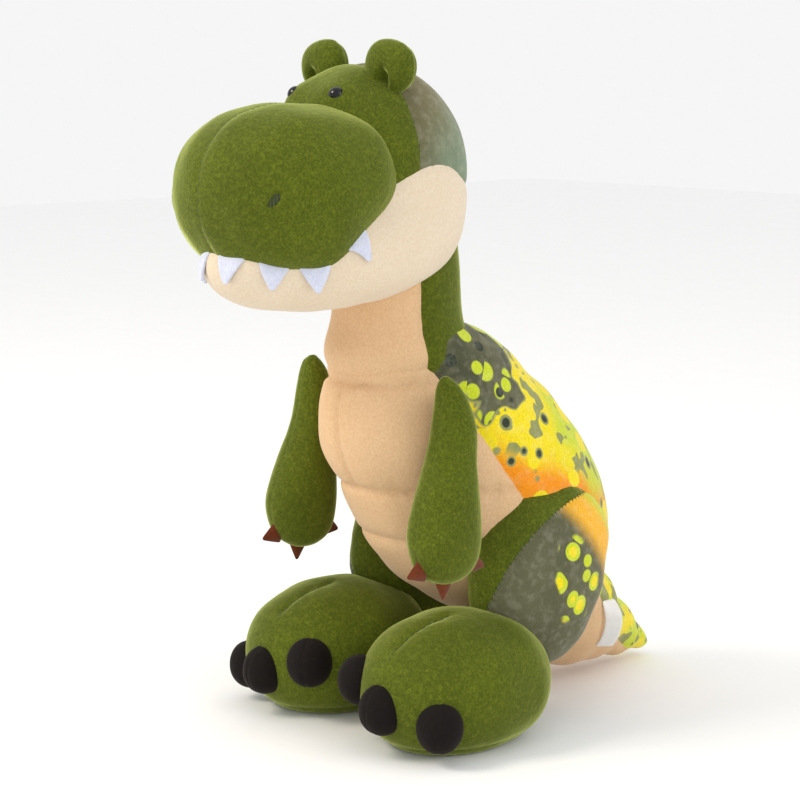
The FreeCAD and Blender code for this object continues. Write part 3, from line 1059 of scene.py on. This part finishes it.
def felt_sheet(name, grid, thickness):
    """A felt piece with soft edges, from rows of toy points."""
    columns = len(grid[0])
    points = [p for line in grid for p in line]
    faces = [(r * columns + c, r * columns + c + 1, (r + 1) * columns + c + 1, (r + 1) * columns + c)
             for r in range(len(grid) - 1) for c in range(columns - 1)]
    piece = new_object(name, to_row(points), faces)
    modifier = piece.modifiers.new("felt", "SOLIDIFY")
    modifier.thickness = thickness * MM
    modifier.offset = 0.0
    apply_modifiers(piece)
    refine(piece)
    shade_smooth(piece)
    return piece


def lip_height(jaw, muzzle, degrees):
    """Height of the line where the muzzle's fabric meets the jaw's."""
    z = MUZZLE[0][2] - 5.0
    while cast(muzzle, degrees, z)[0] > cast(jaw, degrees, z)[0]:
        z -= 0.5
    return z


def tooth(name, jaw, muzzle, degrees, lean, size):
    """A felt tooth that hangs from under the lip and bends a little off the jaw at its tip."""
    lip = lip_height(jaw, muzzle, degrees)
    stand = cast(jaw, degrees, lip)[0]
    rows, columns = TOOTH_GRID
    grid = []
    for level in range(rows):
        down = level / (rows - 1)
        half = size * TOOTH_WIDTH / 2.0 * (1.0 - down ** 1.25) + 0.9 * down
        line = []
        for step in range(columns):
            across = (step / (columns - 1) - 0.5) * 2.0 * half + lean * down
            angle = degrees + math.degrees(across / stand)
            own_lip = lip_height(jaw, muzzle, angle)
            height = lip + TOOTH_ROOT - down * size * TOOTH_LENGTH + (own_lip - lip) * (1.0 - down)
            reach = 0.55 * cast(jaw, angle, height)[0] + 0.45 * cast(jaw, angle, own_lip)[0]
            stand_off = 1.3 - 3.2 * (1.0 - down) ** 4 + 1.6 * down ** 2
            line.append(around_muzzle(angle, reach + stand_off, height))
        grid.append(line)
    return felt_sheet(name, grid, FELT)


def build_teeth(jaw, muzzle):
    for side, sign in SIDES.items():
        for number, (degrees, lean, size) in enumerate(TEETH):
            name = "tooth_%d_%s" % (number + 1, side)
            piece = tooth(name, jaw, muzzle, sign * degrees, sign * lean, size)
            finish(piece, "head", "white_felt", ["teeth_" + side])


# ------------------------------------------------------------------ ears
EAR = ((29, -29, 385.5), (17.5, 10.0, 15.5))
EAR_TURN = 3.0      # degrees that it opens outward
EAR_ROLL = 9.0      # degrees that its top leans outward


def ear_shape(points):
    """Presses a fold into the lower front of the ear, pinches its root and leans it outward."""
    centre, radii = np.array(EAR, float)
    off = (points - centre) / radii
    across = np.hypot((off[:, 0] - 0.12) / 0.36, (off[:, 2] + 0.42) / 0.62)
    front = ramp(off[:, 1], 0.25, -0.30)
    off[:, 1] += front * 0.80 * ramp(across, 1.0, 0.10)
    off[:, 0] *= 1.0 - 0.16 * ramp(off[:, 2], -0.2, -1.0)
    off = off * radii
    x, z = rotated(off[:, 0], off[:, 2], -EAR_ROLL)
    x, y = rotated(x, off[:, 1], EAR_TURN)
    return np.stack([x, y, z], 1) + centre


def build_ears():
    ear = ball("ear_left_plush", *EAR, power=2.3, bend=ear_shape)
    remesh(ear, 1.6)
    smooth(ear, 4)
    refine(ear)
    rim = plane_field((29, -25, 385), (*rotated(0.0, 1.0, EAR_TURN), 0.0))
    sew(ear, [Seam(rim, depth=0.8, width=1.6, pucker=0.6, panel=False)], 31, lumps=0.35)
    shade_smooth(ear)
    finish_both(ear, "head", "green", ["ear_left", "ear_lining_left"])


# ------------------------------------------------------------------ arms
ARM_RINGS = (
    (96, -20, 3, 4, -1), (98, -20, 8, 10, -1), (104, -20, 13, 18, -1), (114, -20, 15.5, 22.5, -0.5),
    (127, -20, 17, 24.5, -0.5), (141, -18.5, 16.5, 22.5, -0.5), (155, -16, 15, 19, -0.5),
    (167, -14, 13.5, 16, -1), (180, -12, 12, 14.5, -1), (192, -12, 10.5, 12.5, -1),
    (204, -13, 9.5, 9, -1.5), (212, -15, 6, 5.5, -2), (215, -15.5, 3, 3, -2),
)
SHOULDER = to_toy(np.array([JOINTS["arm_left_swing"]]))[0]
ARM_LEAN = 2.0      # degrees that the arm hangs outward


def lean_out(points):
    """From the upright arm, made at X = 0, to the arm that hangs outward from the shoulder."""
    x, up = rotated(points[:, 0], points[:, 2] - SHOULDER[2], ARM_LEAN)
    return np.stack([x + SHOULDER[0], points[:, 1], up + SHOULDER[2]], 1)


def arm_inside(p):
    """How far on the body's side of the arm's edge seam a point is."""
    return -rotated(p[:, 0] - SHOULDER[0], p[:, 2] - SHOULDER[2], -ARM_LEAN)[0]


def build_arms():
    form = stack("arm_form", smooth_rings(ARM_RINGS), 48)
    set_points(form, to_row(lean_out(to_toy(points_of(form)))))
    edge = Seam(arm_inside, depth=0.4, width=1.8, pucker=0.8)
    form = stuffed("arm_form", [form], 3.4, [edge], 41, swell=3.0, lumps=0.8)
    heart = lean_out(np.array([(0.0, -15.0, 150.0)]))[0]
    outer, inner = split_panels(form, [arm_inside], ["arm_outer_left", "arm_inner_left"], heart)
    finish_both(outer, "arm_left", "green", ["arm_cover_outer_left", "arm_fill_left"])
    finish_both(inner, "arm_left", "green", ["arm_cover_inner_left"])


# Y and Z where each claw leaves the arm, and its degrees backward from straight down.
CLAWS = ((-40.0, 107.0, -76.0), (-22.0, 97.5, -4.0), (0.5, 106.0, 70.0))
CLAW = (7.6, 3.4, 12.5)    # half width, half thickness and length
CLAW_ROOT = 3.0            # how far it starts inside the arm
CLAW_GRID = (10, 16)       # rings and points in each


def claw(name, y, z, degrees):
    """A folded felt triangle, thick along its middle and sharp at its edges."""
    half_width, half_thick, length = CLAW
    cos, sin = rotated(1.0, 0.0, degrees)
    way = np.array((0.0, sin, -cos))
    across = np.array((0.0, cos, sin))
    sideways = np.array((1.0, 0.0, 0.0))
    root = np.array((0.0, y, z)) - way * CLAW_ROOT
    levels, around = CLAW_GRID
    points = []
    for level in range(levels):
        share = level / (levels - 1)
        size = 1.0 - 0.9 * share ** 1.1
        for cos, sin in turns(around):
            flat = math.copysign(abs(sin) ** 1.6, sin)
            edge = across * half_width * cos + sideways * half_thick * flat
            points.append(root + way * length * share + edge * size)
    piece = new_object(name, to_row(lean_out(np.array(points))), tube_faces(levels, around))
    refine(piece)
    shade_smooth(piece)
    return piece


def build_claws():
    for number, place in enumerate(CLAWS):
        finish_both(claw("claw_%d_left" % (number + 1), *place), "arm_left", "brown_felt", ["claws_left"])


# ------------------------------------------------------------------ legs
THIGH = ((54, 68, 88), (26, 55, 57))
SHIELD_AT = (95.0, 70.0)      # Y and Z of the middle of the printed side panel's edge curve
SHIELD_R = (79.0, 65.0)
SHIELD_INNER_X = 52.0         # the panel ends where the thigh turns to its inner side
SHIELD_SCALE = 57.0           # millimetres for one more radius of the curve


def shield_seam(p):
    """How far outside the printed side panel of the thigh a point is."""
    level = (p[:, 1] - SHIELD_AT[0]) / SHIELD_R[0]
    upright = (p[:, 2] - SHIELD_AT[1]) / SHIELD_R[1]
    return np.maximum((np.hypot(level, upright) - 1.0) * SHIELD_SCALE, SHIELD_INNER_X - p[:, 0])


def thigh_shape(points):
    """Narrows the back of the thigh towards the ankle."""
    y, z = points[:, 1], points[:, 2]
    behind = np.maximum(y - THIGH[0][1], 0.0)
    taken = 0.20 * ramp(z, 118.0, 85.0) + 0.18 * ramp(z, 80.0, 42.0)
    return np.stack([points[:, 0], y - behind * taken, z], 1)


def build_thighs():
    thigh = ball("thigh", *THIGH, power=2.15, bend=thigh_shape)
    edge = Seam(shield_seam, depth=1.0, width=2.2, pucker=0.7)
    form = stuffed("thigh_form", [thigh], 3.8, [edge], 51, lumps=0.8)
    rows = stitches("thigh_stitches_left", form, 1, 3.4, 2.6, 0.35, slant=70.0)
    side, front = split_panels(form, [shield_seam], ["thigh_side_left", "thigh_front_left"], (50, 61, 88))
    finish_both(rows, "torso", "dark_thread")
    finish_both(side, "torso", "thigh", ["thigh_side_panel_left"])
    finish_both(front, "torso", "green", ["thigh_front_panel_left", "thigh_fill_left"])


FOOT = ((53, -1, 33), (47, 58, 40))
SOLE_SEAM_Z = 5.0     # height of the seam round the sole
SOLE_Z = 0.6          # height of the sole's underside
TOES = {"inner": (23.5, -47.5, 37), "middle": (54, -57.5, 28), "outer": (86.5, -43, 22)}
TOE_R = (13.2, 13.2, 14.6)


def flat_sole(points):
    """Flattens the foot onto the floor, with a soft turn where the sole's seam runs."""
    z = points[:, 2]
    low = ramp(z, 7.0, -3.0)
    z = z * (1.0 - low) + np.maximum(z, SOLE_Z) * low
    return np.stack([points[:, 0], points[:, 1], np.maximum(z, SOLE_Z)], 1)


def on_instep(p):
    return ramp(p[:, 1], -50, -44) * ramp(p[:, 1], -2, -8) * (p[:, 2] > 30)


def in_sole(p):
    return SOLE_SEAM_Z - p[:, 2]


def build_feet():
    top = Seam(plane_field(FOOT[0], (1, 0, 0)), on_instep, depth=1.3, width=2.2, pucker=0.9, panel=False)
    rim = Seam(in_sole, depth=0.6, width=2.0, pucker=0.5)
    foot = ball("foot", *FOOT, power=2.3, bend=flat_sole)
    form = stuffed("foot_form", [foot], 4.0, [top, rim], 61, swell=3.5, lumps=0.8)
    set_points(form, to_row(flat_sole(to_toy(points_of(form)))))
    rows = stitches("foot_stitches_left", form, 1, 4.6, 3.0, 0.5)
    upper, sole = split_panels(form, [in_sole], ["foot_left", "sole_left"], (53, -1, 30))
    finish_both(upper, "torso", "green", ["foot_upper_left", "foot_fill_left"])
    finish_both(sole, "torso", "green", ["foot_sole_left"])
    finish_both(rows, "torso", "dark_thread")


def build_toes():
    for number, (place, at) in enumerate(TOES.items()):
        way = np.array(at, float) - np.array(FOOT[0], float)
        seam = Seam(plane_field(at, (way[1], -way[0], 0.0)), depth=0.35, width=1.2, pucker=0.9, panel=False)
        toe = ball("toe_%s_left_plush" % place, at, TOE_R, power=2.1)
        sew(toe, [seam], 71 + number, lumps=0.35)
        shade_smooth(toe)
        finish_both(toe, "torso", "dark", ["toe_%s_left" % place])


# ------------------------------------------------------------------ tail
TAIL_ROOT = np.array((0.0, 129.0, 48.0))
TAIL_TIP = np.array((0.0, 214.0, 8.0))
TAIL_R = (37.5, 6.0)      # at the root and at the tip
TAIL_BALLS = 15           # the balls that its form is made of
TAIL_REST_Z = 0.8         # how high above the floor it rests


def below_tail_seams(p):
    """Depth below the tail's side seams, which climb steeply towards the body."""
    climb = 4.0 + 62.0 * np.maximum((205.0 - p[:, 1]) / 72.0, 0.0) ** 1.6
    return (climb - p[:, 2]) * 0.7


def build_tail():
    balls = []
    for step in range(TAIL_BALLS):
        share = step / (TAIL_BALLS - 1)
        radius = TAIL_R[0] * (1.0 - share) + TAIL_R[1] * share
        centre = TAIL_ROOT + (TAIL_TIP - TAIL_ROOT) * share
        balls.append(ball("tail_%d" % step, centre, (radius,) * 3, detail=4))
    seam = Seam(below_tail_seams, depth=1.2, width=2.4, pucker=1.0)
    form = stuffed("tail_form", balls, 3.8, [seam], 81, swell=3.0, lumps=1.3)
    toy = to_toy(points_of(form))
    toy[:, 2] = np.maximum(toy[:, 2], TAIL_REST_Z)
    set_points(form, to_row(toy))
    skin = surface_of(form)
    top, under = split_panels(form, [below_tail_seams], ["tail_top", "tail_under"], (0, 145, 38))
    finish(top, "tail", "tail", ["tail_top_panel", "tail_fill"])
    finish(under, "tail", "tan", ["tail_under_panel"])
    return skin


LABEL_WIDTH = 11.0
LABEL_LENGTH = 32.0
LABEL_DROP = 0.97 * LABEL_LENGTH    # height that it hangs down
LABEL_TURN = 38.0                   # degrees that its rear edge opens out from the tail
LABEL_TOP = (144.0, 55.0)           # toy Y and Z where it leaves the tail's side seam
LABEL_GRID = (13, 5)                # rows down and points across
BESIDE_TAIL = 100.0                 # a toy X well outside the tail


def build_label(skin):
    """A blank satin ribbon sewn into the tail's left seam, that hangs down the tail's side."""
    rows, columns = LABEL_GRID
    grid = []
    for level in range(rows):
        down = level / (rows - 1)
        turn = math.radians(LABEL_TURN) * min(1.0, 3.0 * down)
        line = []
        for step in range(columns):
            across = (step / (columns - 1) - 0.5) * LABEL_WIDTH
            y = LABEL_TOP[0] + across * math.cos(turn)
            z = LABEL_TOP[1] - down * LABEL_DROP
            start = Vector(row_point((BESIDE_TAIL, y, z)))
            hit, _, _, reach = skin.ray_cast(start, Vector((-1.0, 0.0, 0.0)), BESIDE_TAIL * MM)
            x = BESIDE_TAIL - reach / MM if hit else line[-1][0]
            x += 0.6 + 1.6 * math.sin(math.pi * down) + 0.4 * math.sin(across)
            line.append(np.array((x, y, z)))
        front_edge = line[0][0]
        for step, point in enumerate(line):
            open_out = front_edge + step / (columns - 1) * LABEL_WIDTH * math.sin(turn)
            point[0] = max(point[0], open_out)
        grid.append(line)
    label = felt_sheet("label", grid, 0.5)
    finish(label, "tail", "satin", ["care_label"])


def dress_cad_nodes():
    """The eyes and their washers stay as the frame has them."""
    for side in SIDES:
        for node, fabric in (("eye", "eye"), ("eye_washer", "washer")):
            piece = frame["nodes"]["%s_%s" % (node, side)]
            piece.data.materials.clear()
            piece.data.materials.append(FABRICS[fabric])
            shade_smooth(piece)


# ------------------------------------------------------------------ floor, camera and light
FLOOR_REACH = 4.0                         # metres each way
AIM = Vector((-0.0059, -0.0305, 0.1906))
AWAY = Vector((0.7454, -0.6480, 0.1564))  # from what the camera looks at towards the camera
CAMERA_REACH = 1.3
LIGHTS_AIM = Vector((0.0, 0.0, 0.2))


def build_stage():
    corners = [(-1, -1, 0), (1, -1, 0), (1, 1, 0), (-1, 1, 0)]
    floor = new_object("floor", np.array(corners) * FLOOR_REACH, [(0, 1, 2, 3)])
    shader = Shader("floor")
    tone = shader.mix(shader.noise(60.0, 2.0), (0.94, 0.94, 0.94, 1.0), (0.97, 0.97, 0.97, 1.0))
    shader.set(Base_Color=tone, Roughness=0.9)
    floor.data.materials.append(shader.material)


def build_camera():
    data = bpy.data.cameras.new("camera")
    data.lens = 99.0
    data.sensor_width = 36.0
    camera = add_object("camera", data)
    camera.location = AIM + AWAY * CAMERA_REACH
    camera.rotation_euler = (-AWAY).to_track_quat("-Z", "Y").to_euler()
    bpy.context.scene.camera = camera
    bpy.context.scene.view_settings.view_transform = "Standard"


def area_light(name, place, size, power, color):
    data = bpy.data.lights.new(name, "AREA")
    data.energy = power
    data.size = size
    data.color = color
    light = add_object(name, data)
    light.location = place
    light.rotation_euler = (LIGHTS_AIM - Vector(place)).to_track_quat("-Z", "Y").to_euler()


def build_light():
    world = bpy.data.worlds.new("world")
    world.use_nodes = True
    background = world.node_tree.nodes["Background"]
    background.inputs["Color"].default_value = WHITE
    background.inputs["Strength"].default_value = 0.92
    bpy.context.scene.world = world
    area_light("key", (-0.6, -1.4, 1.6), 0.7, 19.0, (1.0, 0.93, 0.80))
    area_light("side", (1.6, 0.3, 1.2), 1.2, 6.0, (0.96, 0.98, 1.0))


build_torso()
build_neck()
jaw_skin = build_head()
muzzle_skin = build_muzzle()
build_teeth(jaw_skin, muzzle_skin)
build_ears()
build_arms()
build_claws()
build_thighs()
build_feet()
build_toes()
build_label(build_tail())
dress_cad_nodes()
build_stage()
build_light()
build_camera()
